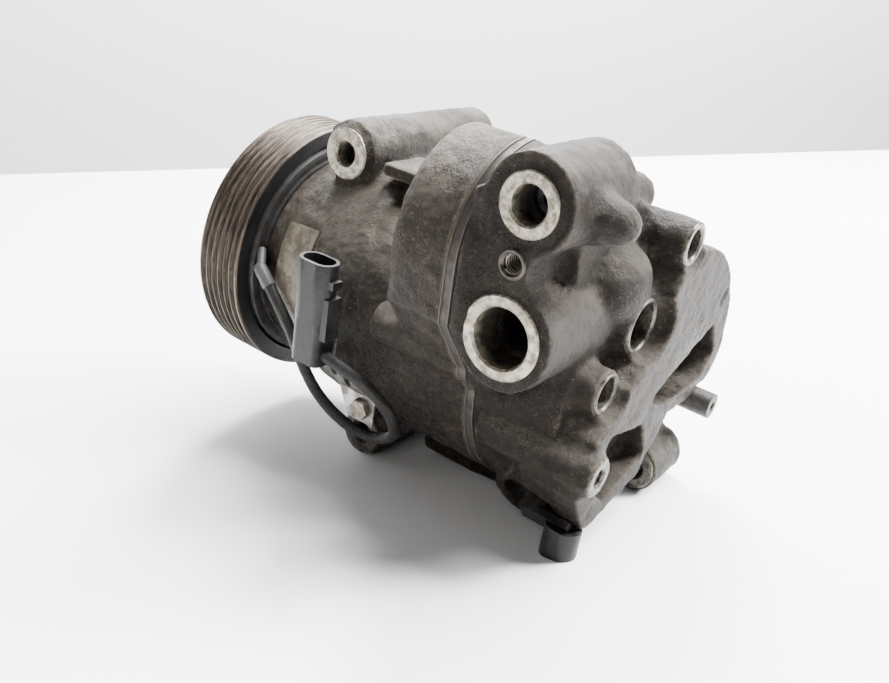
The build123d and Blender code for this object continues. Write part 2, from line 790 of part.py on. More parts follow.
# ---------------------------------------------------------------- lug plate, swash plate, spring
lug_front, lug_rear = 31.1, 42.0
hinge_x, hinge_z = 57.0, 22.0
with BuildPart() as lug_plate:
    with BuildSketch(Plane.XY):
        sleeve(lug_front, lug_rear, shaft_r, 36)
        sleeve(lug_rear, 46, shaft_r, 15)
    revolve(axis=Axis.X)
    with BuildSketch(Plane.XZ.offset(11)):
        Polygon((lug_rear - 3, 14), (lug_rear - 3, 30), (56, 28), (60.5, 26), (60.5, 18), (52, 14), align=None)
    extrude(amount=-22)
    with BuildSketch(Plane.XZ.offset(5.2)):
        with Locations((60, 22)):
            Rectangle(34, 30)
    extrude(amount=-10.4, mode=Mode.SUBTRACT)
    with BuildSketch(Plane.XY):
        sleeve(lug_front, lug_rear, shaft_r, 36)
    revolve(axis=Axis.X)
    with BuildSketch(Plane.XZ.offset(12)):
        with Locations((hinge_x, hinge_z)):
            Circle(2.55)
    extrude(amount=-24, mode=Mode.SUBTRACT)
save(lug_plate, "lug_plate")

with BuildPart() as swash_plate:
    with BuildSketch(Plane.XY):
        sleeve(swash_front, swash_rear, shaft_r + 0.1, swash_r)
        sleeve(swash_front - 3, swash_rear + 4, shaft_r + 0.1, 15)
    revolve(axis=Axis.X)
    with BuildSketch(Plane.XZ.offset(4.8)):
        Polygon(
            (swash_front + 1, 12), (swash_front + 1, 22.6), (61, 22.6), (58, 25.6), (54.5, 25.2), (53.2, 22),
            (54.5, 19), (64, 12), align=None,
        )
    extrude(amount=-9.6)
    with BuildSketch(Plane.XZ.offset(6)):
        with Locations((hinge_x, hinge_z)):
            Circle(2.6)
    extrude(amount=-12, mode=Mode.SUBTRACT)
save(swash_plate, "swash_plate")

with BuildPart() as hinge_pin:
    with BuildSketch(Plane.XZ.offset(11)):
        with Locations((hinge_x, hinge_z)):
            Circle(2.5)
    extrude(amount=-22)
save(hinge_pin, "hinge_pin")

spring_r, spring_wire_r, spring_turns = 10.4, 0.8, 5
spring_length = swash_front - 3 - 46 - 2 * spring_wire_r - 0.4
spring_start = 46 + spring_wire_r + 0.2
spring_helix = Pos(spring_start, 0, 0) * Rot(0, 90, 0) * Helix(
    spring_length / spring_turns, spring_length, spring_r
)
with BuildPart() as return_spring:
    with BuildSketch(Plane(origin=spring_helix @ 0, z_dir=spring_helix % 0)):
        Circle(spring_wire_r)
    sweep(path=spring_helix)
save(return_spring, "return_spring")

# ---------------------------------------------------------------- cylinder block, pistons and shoes
with BuildPart() as cylinder_block:
    with BuildSketch(Plane.YZ.offset(block_front)):
        Circle(block_seat_r - 0.1)
        with PolarLocations(piston_pitch_r, piston_count, start_angle=30):
            Circle(piston_r + run_gap, mode=Mode.SUBTRACT)
        Circle(12, mode=Mode.SUBTRACT)
    extrude(amount=joint_x - block_front)
    with BuildSketch(Plane.XY):
        sleeve(124, 126.5, block_seat_r - 2, block_seat_r + 1)
    revolve(axis=Axis.X, mode=Mode.SUBTRACT)
save(cylinder_block, "cylinder_block")

with BuildPart() as housing_o_ring:
    with BuildSketch(Plane.XY):
        sleeve(124.1, 126.4, block_seat_r - 1.9, block_seat_r)
    revolve(axis=Axis.X)
save(housing_o_ring, "housing_o_ring")

shoe_ball_r = 7.4
swash_middle = (swash_front + swash_rear) / 2
for number in range(piston_count):
    turn = 30 + 360 / piston_count * number
    across = Plane(origin=(0, 0, 0), x_dir=(0, sin(radians(turn)), -cos(radians(turn))), z_dir=(1, 0, 0))
    centre = (swash_middle, piston_pitch_r * cos(radians(turn)), piston_pitch_r * sin(radians(turn)))
    with BuildPart() as piston:
        with BuildSketch(across.offset(85)):
            with Locations((0, piston_pitch_r)):
                Circle(piston_r)
        extrude(amount=joint_x - 0.6 - 85)
        with BuildSketch(across.offset(62)):
            Rectangle(17, 2 * 44.6)
            Circle(44.6, mode=Mode.INTERSECT)
            with Locations((0, 34.2 - 54.6)):
                Rectangle(17.2, 89.2, mode=Mode.SUBTRACT)
        extrude(amount=24)
        with BuildSketch(across.offset(swash_front - 0.7)):
            with Locations((0, 30)):
                Rectangle(20, 23)
        extrude(amount=swash_rear - swash_front + 1.4, mode=Mode.SUBTRACT)
        with Locations(Plane(origin=centre, x_dir=across.x_dir, z_dir=across.y_dir)):
            Sphere(shoe_ball_r + 0.05, mode=Mode.SUBTRACT)
    save(piston, f"piston_{number + 1}")

# Each shoe is a slice of a ball: flat on the swash plate, round in the piston's pocket.
shoe_flat_r = sqrt(shoe_ball_r**2 - (swash_middle - swash_front + 0.05) ** 2)
with BuildPart() as piston_shoes:
    for number in range(piston_count):
        angle = radians(30 + 360 / piston_count * number)
        origin = (swash_middle, piston_pitch_r * cos(angle), piston_pitch_r * sin(angle))
        section = Plane(origin=origin, x_dir=(1, 0, 0), z_dir=(0, 0, 1))
        flat = swash_middle - swash_front + 0.05
        slant = shoe_ball_r * cos(radians(45))
        with BuildSketch(section):
            with BuildLine():
                Polyline((shoe_ball_r, 0), (flat, 0), (flat, shoe_flat_r))
                ThreePointArc((flat, shoe_flat_r), (slant, slant), (shoe_ball_r, 0))
            make_face()
            with BuildLine():
                Polyline((-shoe_ball_r, 0), (-flat, 0), (-flat, shoe_flat_r))
                ThreePointArc((-flat, shoe_flat_r), (-slant, slant), (-shoe_ball_r, 0))
            make_face()
        revolve(axis=Axis(origin, (1, 0, 0)))
save(piston_shoes, "piston_shoes")

# ---------------------------------------------------------------- discharge check valve
check_seat_y = -54.0
with BuildPart() as check_valve_poppet:
    with BuildSketch(Plane.XZ.offset(-check_seat_y)):
        with Locations((discharge_x, discharge_z)):
            Circle(valve_seat_r - 0.4)
    extrude(amount=3)
    with BuildSketch(Plane.XZ.offset(-check_seat_y + 3)):
        with Locations((discharge_x, discharge_z)):
            Circle(2)
    extrude(amount=2)
save(check_valve_poppet, "check_valve_poppet")

with BuildPart() as check_valve_clip:
    with BuildSketch(Plane.XZ.offset(-check_seat_y + 8)):
        with Locations((discharge_x, discharge_z)):
            Circle(valve_seat_r)
            Circle(3.6, mode=Mode.SUBTRACT)
    extrude(amount=1.2)
save(check_valve_clip, "check_valve_clip")

# ---------------------------------------------------------------- connector, bracket and lead
# The coil's lead runs from the connector round under the bracket and back to the coil.
lead_r = 2.4
lead_route = [
    (70, -67, -9), (82, -66, -11), (93, -62.5, -16), (101, -57.5, -25), (102, -52, -36), (95, -47, -45),
    (83, -46, -50), (70, -48, -47.5), (60, -52, -39), (53, -55, -28), (46, -55, -17), (36, -53.5, -8),
    (27, -52, -1.5),
]
lead_points = [Vector(*point) for point in lead_route]
lead_radii = []
for before, corner, after in zip(lead_points, lead_points[1:], lead_points[2:]):
    first, second = corner - before, after - corner
    turn = radians(first.get_angle(second))
    lead_radii.append(0.45 * min(first.length, second.length) * cos(turn / 2) / sin(turn / 2))
print("lead bend radii", [round(radius, 1) for radius in lead_radii])
conn_x, conn_y = 67.0, -67.0
conn_low, conn_top = -14.0, 28.0
bracket_y = -60.6
with BuildPart() as connector_housing:
    with BuildSketch(Plane.XY.offset(4)):
        with Locations((conn_x, conn_y)):
            SlotOverall(16.6, 10.6)
    extrude(amount=conn_top - 4)
    with BuildSketch(Plane.XY.offset(conn_low)):
        with Locations((conn_x, conn_y + 0.4)):
            RectangleRounded(14.2, 10.4, 3)
    extrude(amount=20)
    with BuildSketch(Plane.XY.offset(-2)):
        with Locations((conn_x + 7.6, conn_y)):
            Rectangle(4, 7)
    extrude(amount=17)
    with BuildSketch(Plane.XY.offset(19)):
        with Locations((conn_x + 8.6, conn_y)):
            Rectangle(3, 5)
    extrude(amount=3)
    with BuildSketch(Plane.XY.offset(-6)):
        with Locations((conn_x, bracket_y - 1.4)):
            Rectangle(8, 2.8)
    extrude(amount=14)
    with BuildSketch(Plane.XY.offset(conn_top)):
        with Locations((conn_x, conn_y)):
            SlotOverall(14, 8)
    extrude(amount=-21, mode=Mode.SUBTRACT)
    with BuildSketch(Plane(origin=lead_points[0], z_dir=lead_points[1] - lead_points[0])):
        Circle(lead_r + 0.1)
    extrude(amount=9, mode=Mode.SUBTRACT)
save(connector_housing, "connector_housing")

with BuildPart() as connector_terminals:
    with BuildSketch(Plane.XY.offset(7)):
        for side in (-1, 1):
            with Locations((conn_x + 2.9 * side, conn_y)):
                Rectangle(2.8, 0.8)
    extrude(amount=13)
save(connector_terminals, "connector_terminals")

bracket_t = 1.2
with BuildPart() as connector_bracket:
    with BuildSketch(Plane.YZ.offset(60)):
        Polygon(
            (-foot_y, -43.5), (-foot_y, -31), (bracket_y + bracket_t, -14), (bracket_y + bracket_t, 10),
            (bracket_y, 10), (bracket_y, -14.5), (-foot_y - bracket_t, -31.5), (-foot_y - bracket_t, -43.5),
            align=None,
        )
    extrude(amount=26)
    with BuildSketch(Plane.XZ.offset(62)):
        Polygon((59, -44), (59, -18), (73, -44), align=None)
        Polygon((87, -30), (87, 12), (73, 12), (73, -16), align=None)
    extrude(amount=-22, mode=Mode.SUBTRACT)
    with BuildSketch(Plane.XZ.offset(62)):
        with Locations((80, -37)):
            Circle(2.7)
        with Locations((69, -21)):
            SlotOverall(9, 3, rotation=70)
        with Locations((74, -25)):
            SlotOverall(9, 3, rotation=70)
    extrude(amount=-22, mode=Mode.SUBTRACT)
save(connector_bracket, "connector_bracket")

with BuildPart() as bracket_screw:
    with BuildSketch(Plane.XZ.offset(foot_y + bracket_t)):
        with Locations((80, -37)):
            RegularPolygon(4.6, 6)
    extrude(amount=3.2)
    with BuildSketch(Plane.XZ.offset(foot_y + bracket_t)):
        with Locations((80, -37)):
            Circle(2.5)
    extrude(amount=-11)
save(bracket_screw, "bracket_screw")

lead_path = FilletPolyline(*lead_points, radius=lead_radii)
with BuildPart() as clutch_lead:
    with BuildSketch(Plane(origin=lead_points[0], z_dir=lead_points[1] - lead_points[0])):
        Circle(lead_r)
    sweep(path=lead_path)
lead_length = lead_path.length
print("lead length", round(lead_length, 1), "volume ratio",
      round(clutch_lead.part.volume / (lead_length * 3.14159 * lead_r**2), 4))
save(clutch_lead, "clutch_lead")

# Grey two-pronged sleeve that joins the lead to the coil.
lead_end = lead_points[-1]
fork = lead_end + (lead_end - lead_points[-2]).normalized() * 9.2
with BuildPart() as lead_sleeve:
    with BuildSketch(Plane(origin=lead_end, z_dir=fork - lead_end)):
        Circle(2.9)
    extrude(amount=(fork - lead_end).length)
    with Locations(fork):
        Sphere(2.9)
    for end in (Vector(13.5, -46.2, 1.5), Vector(13.5, -45, 9.5)):
        with BuildSketch(Plane(origin=fork, z_dir=end - fork)):
            Circle(1.9)
        extrude(amount=(end - fork).length)
    with BuildSketch(Plane.YZ.offset(13.5)):
        Circle(60)
    extrude(amount=-10, mode=Mode.SUBTRACT)
save(lead_sleeve, "lead_sleeve")

# Blank label wrapped on the tapered nose.
with BuildPart() as nose_label:
    with BuildSketch(Plane.XY.rotated((148, 0, 0))):
        Polygon(
            (24.5, 46.75), (34, 49.6), (45, 52.08), (45, 52.4), (34, 49.95), (24.5, 47.1), align=None,
        )
    revolve(axis=Axis.X, revolution_arc=74)
save(nose_label, "nose_label")
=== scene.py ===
import json
import math
import bmesh
import bpy
import numpy as np
from mathutils import Matrix, Vector

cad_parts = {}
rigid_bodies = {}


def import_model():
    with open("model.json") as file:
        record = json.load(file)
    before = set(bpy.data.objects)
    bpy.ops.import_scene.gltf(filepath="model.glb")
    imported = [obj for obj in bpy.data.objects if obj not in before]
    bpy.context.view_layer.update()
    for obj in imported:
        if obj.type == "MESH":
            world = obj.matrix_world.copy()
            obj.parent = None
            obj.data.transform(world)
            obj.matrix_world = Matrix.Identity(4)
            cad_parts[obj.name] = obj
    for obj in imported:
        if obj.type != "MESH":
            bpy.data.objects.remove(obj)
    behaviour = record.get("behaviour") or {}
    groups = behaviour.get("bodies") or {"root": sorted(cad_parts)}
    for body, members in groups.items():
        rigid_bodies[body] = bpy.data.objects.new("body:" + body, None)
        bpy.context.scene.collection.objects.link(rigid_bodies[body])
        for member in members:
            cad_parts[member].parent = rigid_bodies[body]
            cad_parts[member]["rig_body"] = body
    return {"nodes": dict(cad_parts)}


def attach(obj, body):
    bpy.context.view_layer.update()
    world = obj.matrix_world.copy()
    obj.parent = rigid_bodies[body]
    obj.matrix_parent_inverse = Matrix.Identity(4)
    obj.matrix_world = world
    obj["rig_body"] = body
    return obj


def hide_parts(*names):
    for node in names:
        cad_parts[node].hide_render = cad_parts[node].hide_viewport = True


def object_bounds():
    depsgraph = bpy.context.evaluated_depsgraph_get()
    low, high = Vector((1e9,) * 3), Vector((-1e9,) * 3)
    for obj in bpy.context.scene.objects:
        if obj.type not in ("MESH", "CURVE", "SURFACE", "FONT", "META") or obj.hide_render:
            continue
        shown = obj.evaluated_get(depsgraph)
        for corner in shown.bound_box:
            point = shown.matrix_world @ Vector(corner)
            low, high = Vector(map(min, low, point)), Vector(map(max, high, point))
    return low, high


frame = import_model()
nodes = frame["nodes"]
cad_low, cad_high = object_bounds()


# ---------------------------------------------------------------- front housing
# The long aluminium casting: bearing nose, crankcase, two mounting sleeves, bolt ears and the flat
# port-side lobe. Sand cast, so every corner is round and the skin is gritty; dulled brown by road dirt.
class Paint:
    """A node material being mixed: each method adds a node and returns what comes out of it."""

    def __init__(self, name, **shader):
        self.material = bpy.data.materials.new(name)
        self.material.use_nodes = True
        self.tree = self.material.node_tree
        self.shader = self.tree.nodes["Principled BSDF"]
        self.place = self.tree.nodes.new("ShaderNodeTexCoord").outputs["Object"]
        for socket, value in shader.items():
            self.shader.inputs[socket.replace("_", " ")].default_value = value

    def node(self, kind, outlet, inputs, **settings):
        """One shader node; inputs maps its sockets to numbers, colours or other nodes' outlets."""
        made = self.tree.nodes.new("ShaderNode" + kind)
        for key, value in settings.items():
            setattr(made, key, value)
        for key, value in inputs.items():
            if isinstance(value, bpy.types.NodeSocket):
                self.tree.links.new(value, made.inputs[key])
            else:
                made.inputs[key].default_value = value
        return made.outputs[outlet]

    def grain(self, size_mm, detail=4.0, rough=0.6, place=None):
        """Cloudy noise whose blotches are about size_mm across."""
        inputs = {"Vector": place or self.place, "Scale": 1000 / size_mm}
        inputs.update(Detail=detail, Roughness=rough)
        return self.node("TexNoise", 0, inputs)

    def pits(self, size_mm):
        """Distance to the nearest of scattered points about size_mm apart."""
        return self.node("TexVoronoi", 0, {"Vector": self.place, "Scale": 1000 / size_mm})

    def sum(self, operation, first, second=0.0):
        """Arithmetic on two values."""
        return self.node("Math", 0, {0: first, 1: second}, operation=operation)

    def span(self, value, low, high, to_low=0.0, to_high=1.0):
        """The value's stretch from low to high, carried smoothly to another stretch."""
        inputs = {"Value": value, "From Min": low, "From Max": high, "To Min": to_low, "To Max": to_high}
        return self.node("MapRange", 0, inputs, interpolation_type="SMOOTHSTEP")

    def mix(self, share, first, second):
        """Colour first where share is 0 and second where it is 1."""
        inputs = {0: share, 6: first, 7: second}
        return self.node("Mix", 2, inputs, data_type="RGBA")

    def near(self, point_mm, reach_mm, soft=0.5):
        """1 close to a point of the object, fading to 0 at the reach."""
        point = tuple(value / 1000 for value in point_mm)
        gap = self.node("VectorMath", "Value", {0: self.place, 1: point}, operation="DISTANCE")
        return self.span(gap, reach_mm / 1000 * soft, reach_mm / 1000, 1.0, 0.0)

    def facing(self, axis):
        """How far the surface faces along Z, from -1 to 1, or along X or Y."""
        normal = self.node("NewGeometry", "Normal", {})
        return self.node("SeparateXYZ", "XYZ".index(axis), {"Vector": normal})

    def along(self, axis):
        """The place along one axis, in metres."""
        return self.node("SeparateXYZ", "XYZ".index(axis), {"Vector": self.place})

    def round_shaft(self):
        """Coordinates that follow the shaft: along it, out from it, and round it, with long streaks."""
        streak_squeeze = 0.0025
        y, z = self.along("Y"), self.along("Z")
        out = self.sum("SQRT", self.sum("ADD", self.sum("MULTIPLY", y, y), self.sum("MULTIPLY", z, z)))
        turn = self.sum("MULTIPLY", self.sum("ARCTAN2", z, y), streak_squeeze)
        return self.node("CombineXYZ", 0, {"X": self.along("X"), "Y": out, "Z": turn}), out

    def relief(self, height, depth_mm, strength=1.0):
        """Small relief on the surface from a height."""
        inputs = {"Height": height, "Distance": depth_mm / 1000, "Strength": strength}
        normal = self.node("Bump", 0, inputs)
        self.tree.links.new(normal, self.shader.inputs["Normal"])

    def wear(self, socket, value):
        """Feeds a value that varies over the surface to one of the shader's sockets."""
        self.tree.links.new(value, self.shader.inputs[socket])


def dress(piece, paint):
    """Gives a piece its one material."""
    piece.data.materials.clear()
    piece.data.materials.append(paint.material)
    return piece


def cast_skin(name, dark, middle, light, tan, oily_spots):
    """Sand-cast aluminium after years under a bonnet: grit, darkened hollows, pale worn edges with a
    painted highlight, and a painted top light.
    """
    paint = Paint(name, Metallic=0.3, Specular_IOR_Level=0.2)
    grit = paint.grain(0.9, 6, 0.75)
    coarse = paint.grain(3.2, 5, 0.7)
    blotch = paint.grain(22, 6, 0.68)
    stain = paint.grain(60, 4, 0.6)
    speck = paint.pits(2.6)
    # up: how far the surface faces upwards; it drives the painted top light below.
    up = paint.span(paint.facing("Z"), -0.35, 0.95)
    edge = paint.node("NewGeometry", "Pointiness", {})
    # Sharp convex edges: worn pale, and also a painted highlight.
    worn_and_highlit_edges = paint.span(edge, 0.515, 0.56)
    # hollow: 1 in the concave hollows, which are darkened to near black.
    hollow = paint.span(edge, 0.49, 0.44)
    base = paint.mix(paint.span(blotch, 0.36, 0.66), dark, middle)
    # Painted top light: upward faces are mixed towards the light colour, as if lit from above.
    painted_top_light = paint.sum("MULTIPLY", paint.span(up, 0.35, 1.0), paint.span(stain, 0.3, 0.6))
    base = paint.mix(paint.sum("MULTIPLY", painted_top_light, 0.75), base, light)
    sandy = paint.sum("MULTIPLY", paint.span(grit, 0.5, 0.62), paint.span(coarse, 0.42, 0.6))
    base = paint.mix(paint.sum("MULTIPLY", sandy, 0.6), base, tan)
    sooty = paint.sum("MULTIPLY", paint.span(grit, 0.5, 0.4), paint.span(coarse, 0.56, 0.4))
    base = paint.mix(paint.sum("MULTIPLY", sooty, 0.75), base, (0.012, 0.010, 0.008, 1))
    flecks = paint.sum("MULTIPLY", paint.span(speck, 0.16, 0.05), paint.span(stain, 0.42, 0.6))
    base = paint.mix(paint.sum("MULTIPLY", flecks, 0.4), base, (0.20, 0.18, 0.145, 1))
    # Pale edges: partly wear, partly painted highlight.
    base = paint.mix(paint.sum("MULTIPLY", worn_and_highlit_edges, 0.7), base, tan)
    # The hollows are darkened to near black.
    base = paint.mix(paint.sum("MULTIPLY", hollow, 0.85), base, (0.006, 0.005, 0.004, 1))
    wet = 0.0
    for spot, reach in oily_spots:
        wet = paint.sum("MAXIMUM", wet, paint.near(spot, reach, 0.3))
    wet = paint.sum("MULTIPLY", wet, paint.span(paint.grain(9, 5, 0.65), 0.36, 0.56))
    base = paint.mix(paint.sum("MULTIPLY", wet, 0.82), base, (0.010, 0.007, 0.005, 1))
    paint.wear("Base Color", base)
    rough = paint.span(grit, 0.3, 0.75, 0.42, 0.72)
    paint.wear("Roughness", paint.sum("SUBTRACT", rough, paint.sum("MULTIPLY", wet, 0.26)))
    height = paint.sum("ADD", paint.sum("MULTIPLY", grit, 0.9), paint.sum("MULTIPLY", coarse, 1.6))
    height = paint.sum("SUBTRACT", height, paint.sum("MULTIPLY", paint.span(speck, 0.22, 0.0), 0.5))
    paint.relief(height, 0.7, 1.0)
    return paint


def cast_copy(node, name, voxel_mm, fillet_mm, ease):
    """A casting's skin over its CAD node: inner corners filled to fillet_mm, edges eased, skin rippled.

    The machined joint between the castings keeps its crisp edge."""
    joint_middle_mm, crisp_band_mm = 134, 4.2
    piece = bpy.data.objects.new(name, nodes[node].data.copy())
    bpy.context.scene.collection.objects.link(piece)
    ripple = bpy.data.textures.new(name + "_ripple", "CLOUDS")
    ripple.noise_scale = 0.006
    ripple.noise_depth = 3
    weld = piece.modifiers.new("weld", "WELD")
    weld.merge_threshold = 0.00001
    for move in (fillet_mm, -fillet_mm, 0):
        skin = piece.modifiers.new("skin", "REMESH")
        skin.mode = "VOXEL"
        skin.voxel_size = voxel_mm / 1000
        if move:
            swell = piece.modifiers.new("swell", "DISPLACE")
            swell.mid_level = 0
            swell.strength = move / 1000
    graph = bpy.context.evaluated_depsgraph_get()
    skinned = bpy.data.meshes.new_from_object(piece.evaluated_get(graph))
    piece.modifiers.clear()
    piece.data = skinned
    spots = np.zeros(len(skinned.vertices) * 3)
    skinned.vertices.foreach_get("co", spots)
    from_joint = np.abs(spots[::3] * 1000 - joint_middle_mm)
    loose = piece.vertex_groups.new(name="away_from_joint")
    loose.add(np.flatnonzero(from_joint > crisp_band_mm).tolist(), 1.0, "REPLACE")
    smooth = piece.modifiers.new("ease", "SMOOTH")
    smooth.iterations = ease
    smooth.vertex_group = "away_from_joint"
    grit = piece.modifiers.new("grit", "DISPLACE")
    grit.texture = ripple
    grit.texture_coords = "OBJECT"
    grit.strength = 0.0011
    grit.mid_level = 0.62
    grit.vertex_group = "away_from_joint"
    graph = bpy.context.evaluated_depsgraph_get()
    skinned = bpy.data.meshes.new_from_object(piece.evaluated_get(graph))
    piece.modifiers.clear()
    piece.data = skinned
    skinned.shade_smooth()
    body = nodes[node]["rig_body"]
    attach(piece, body)
    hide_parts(node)
    return piece


voxel = 0.75
# The third colour is the light colour of the painted top light on upward faces.
front_skin = cast_skin(
    "sand_cast_front", (0.008, 0.006, 0.0045, 1), (0.022, 0.0165, 0.0115, 1), (0.13, 0.112, 0.093, 1),
    (0.14, 0.108, 0.078, 1),
    [((100, -50, -20), 60), ((52, -10, 66), 34), ((120, -70, 20), 40), ((45, 10, -50), 45)],
)
dress(cast_copy("front_housing", "front_housing_casting", voxel, 1.8, 5), front_skin)


# ---------------------------------------------------------------- rear head
# The second casting holds the two ports, the control valve's bore, tapped bosses and a deep pocket.
# It sat lowest and wettest, so it is darker than the front and oily round the ports.
# The third colour is the light colour of the painted top light on upward faces.
rear_skin = cast_skin(
    "sand_cast_rear", (0.005, 0.004, 0.003, 1), (0.012, 0.0092, 0.0068, 1), (0.075, 0.065, 0.055, 1),
    (0.10, 0.078, 0.058, 1),
    [((154, -78, 58), 46), ((150, -70, 20), 40), ((161, -50, -45), 40), ((180, 20, 0), 26)],
)
dress(cast_copy("rear_head", "rear_head_casting", voxel, 2.0, 6), rear_skin)


# ---------------------------------------------------------------- machined rings
# The faces that seal or bolt up are cut after casting: bright rings with fine turning marks, each
# with the start of its bore. They stand a hair above the cast skin round them.
def lathe(name, profile_mm, centre_mm, axis, steps=96):
    """A turned piece: (along, out) points in millimetres spun round an axis through the centre."""
    line = Vector(axis).normalized()
    side = line.orthogonal().normalized()
    other = line.cross(side)
    mesh = bmesh.new()
    rings = []
    for step in range(steps):
        angle = 2 * math.pi * step / steps
        out = side * math.cos(angle) + other * math.sin(angle)
        places = [(Vector(centre_mm) + line * a + out * r) / 1000 for a, r in profile_mm]
        rings.append([mesh.verts.new(place) for place in places])
    for step in range(steps):
        here, there = rings[step], rings[(step + 1) % steps]
        for low in range(len(profile_mm)):
            high = (low + 1) % len(profile_mm)
            mesh.faces.new((here[low], here[high], there[high], there[low]))
    bmesh.ops.recalc_face_normals(mesh, faces=mesh.faces)
    data = bpy.data.meshes.new(name)
    mesh.to_mesh(data)
    mesh.free()
    data.shade_smooth()
    data.set_sharp_from_angle(angle=math.radians(35))
    piece = bpy.data.objects.new(name, data)
    bpy.context.scene.collection.objects.link(piece)
    return piece


def turned_face(name, centre_mm, axis, bright, dull):
    """Cut aluminium: fine rings round the bore, nicks, old grime that creeps in from the rim, and painted
    shade deeper in the bore.
    """
    paint = Paint(name, Metallic=0.55, Specular_IOR_Level=0.5)
    centre = tuple(value / 1000 for value in centre_mm)
    away = paint.node("VectorMath", "Vector", {0: paint.place, 1: centre}, operation="SUBTRACT")
    line = Vector(axis).normalized()
    height = paint.node("VectorMath", "Value", {0: away, 1: line}, operation="DOT_PRODUCT")
    length = paint.node("VectorMath", "Value", {0: away}, operation="LENGTH")
    squared = paint.sum("MULTIPLY", length, length)
    squared = paint.sum("SUBTRACT", squared, paint.sum("MULTIPLY", height, height))
    out = paint.sum("SQRT", paint.sum("MAXIMUM", squared, 0.0))
    tool_feed = 0.00045
    marks = paint.sum("SINE", paint.sum("MULTIPLY", out, 2 * math.pi / tool_feed))
    cloud = paint.grain(2.4, 6, 0.72)
    nick = paint.span(paint.grain(1.6, 4, 0.7), 0.6, 0.72)
    # down: 1 deeper than about 1.2 mm below the face, for the painted shade down the bore.
    down = paint.span(height, -0.0012, -0.006)
    colour = paint.mix(paint.span(cloud, 0.38, 0.62), bright, dull)
    colour = paint.mix(paint.sum("MULTIPLY", nick, 0.7), colour, (0.10, 0.08, 0.06, 1))
    grime = paint.sum("MULTIPLY", paint.span(cloud, 0.55, 0.75), 0.5)
    colour = paint.mix(grime, colour, (0.05, 0.035, 0.02, 1))
    # Painted shade: the bore walls go darker the deeper they are.
    colour = paint.mix(paint.sum("MULTIPLY", down, 0.85), colour, (0.03, 0.023, 0.016, 1))
    paint.wear("Base Color", colour)
    paint.wear("Roughness", paint.span(cloud, 0.3, 0.7, 0.28, 0.5))
    height = paint.sum("ADD", paint.sum("MULTIPLY", marks, 0.25), nick)
    paint.relief(height, 0.05, 0.6)
    return paint


def machined_ring(name, centre_mm, axis, outer, bore, depth, bright, dull):
    """A cut ring: its face, a chamfer at its rim and mouth, and the bore down to its depth."""
    proud, rim, sunk = 0.3, 0.5, 3.0
    liner_in, liner_out = bore - 0.15, bore + 0.9
    profile = [
        (proud, outer - rim), (proud - rim, outer), (-sunk, outer), (-sunk - 0.2, liner_out),
        (-depth, liner_out), (-depth, liner_in), (proud - 0.8, liner_in), (proud, bore + 0.55),
    ]
    ring = lathe(name, profile, centre_mm, axis)
    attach(ring, "housing")
    return dress(ring, turned_face(name + "_cut", centre_mm, axis, bright, dull))


ivory, worn_ivory = (0.38, 0.35, 0.28, 1), (0.13, 0.11, 0.082, 1)
grey_cut, dark_cut = (0.11, 0.10, 0.088, 1), (0.025, 0.021, 0.017, 1)
to_ports, to_rear = (0, -1, 0), (1, 0, 0)
machined_ring("suction_port_face", (154.5, -77.7, 33.6), to_ports, 14.3, 10.3, 13, ivory, worn_ivory)
machined_ring("discharge_port_face", (155.6, -77.7, 77.4), to_ports, 10.4, 6.4, 16, ivory, worn_ivory)
machined_ring("upper_sleeve_face", (41.4, -29.8, 56.9), to_ports, 10.4, 4.9, 20, ivory, worn_ivory)
machined_ring("lower_sleeve_face", (69.7, -33, -59.3), to_ports, 9.8, 5.2, 20, grey_cut, dark_cut)
machined_ring("upper_sleeve_back", (41.4, 59, 56.9), (0, 1, 0), 11.6, 4.9, 20, grey_cut, dark_cut)
machined_ring("lower_sleeve_back", (69.7, 52, -59.3), (0, 1, 0), 10.0, 5.2, 20, grey_cut, dark_cut)
machined_ring("rear_lug_near", (175, 13, -42.5), to_ports, 9.8, 5.2, 10, grey_cut, dark_cut)
machined_ring("rear_lug_far", (175, 39, -42.5), (0, 1, 0), 9.8, 5.2, 10, grey_cut, dark_cut)
machined_ring("upper_rear_boss_face", (182, -5, 60), to_rear, 8.0, 5.6, 7, grey_cut, dark_cut)
machined_ring("middle_rear_boss_face", (179, -42, 12.5), to_rear, 7.8, 6.2, 16, dark_cut, grey_cut)
machined_ring("lower_rear_boss_face", (187, -50, -14), to_rear, 7.1, 3.4, 13, grey_cut, dark_cut)
machined_ring("large_rear_boss_face", (177, -20, 31), to_rear, 10.4, 8.8, 18, dark_cut, grey_cut)
machined_ring("top_lump_face", (148, -22, 66), to_ports, 7.4, 4.2, 13, grey_cut, dark_cut)


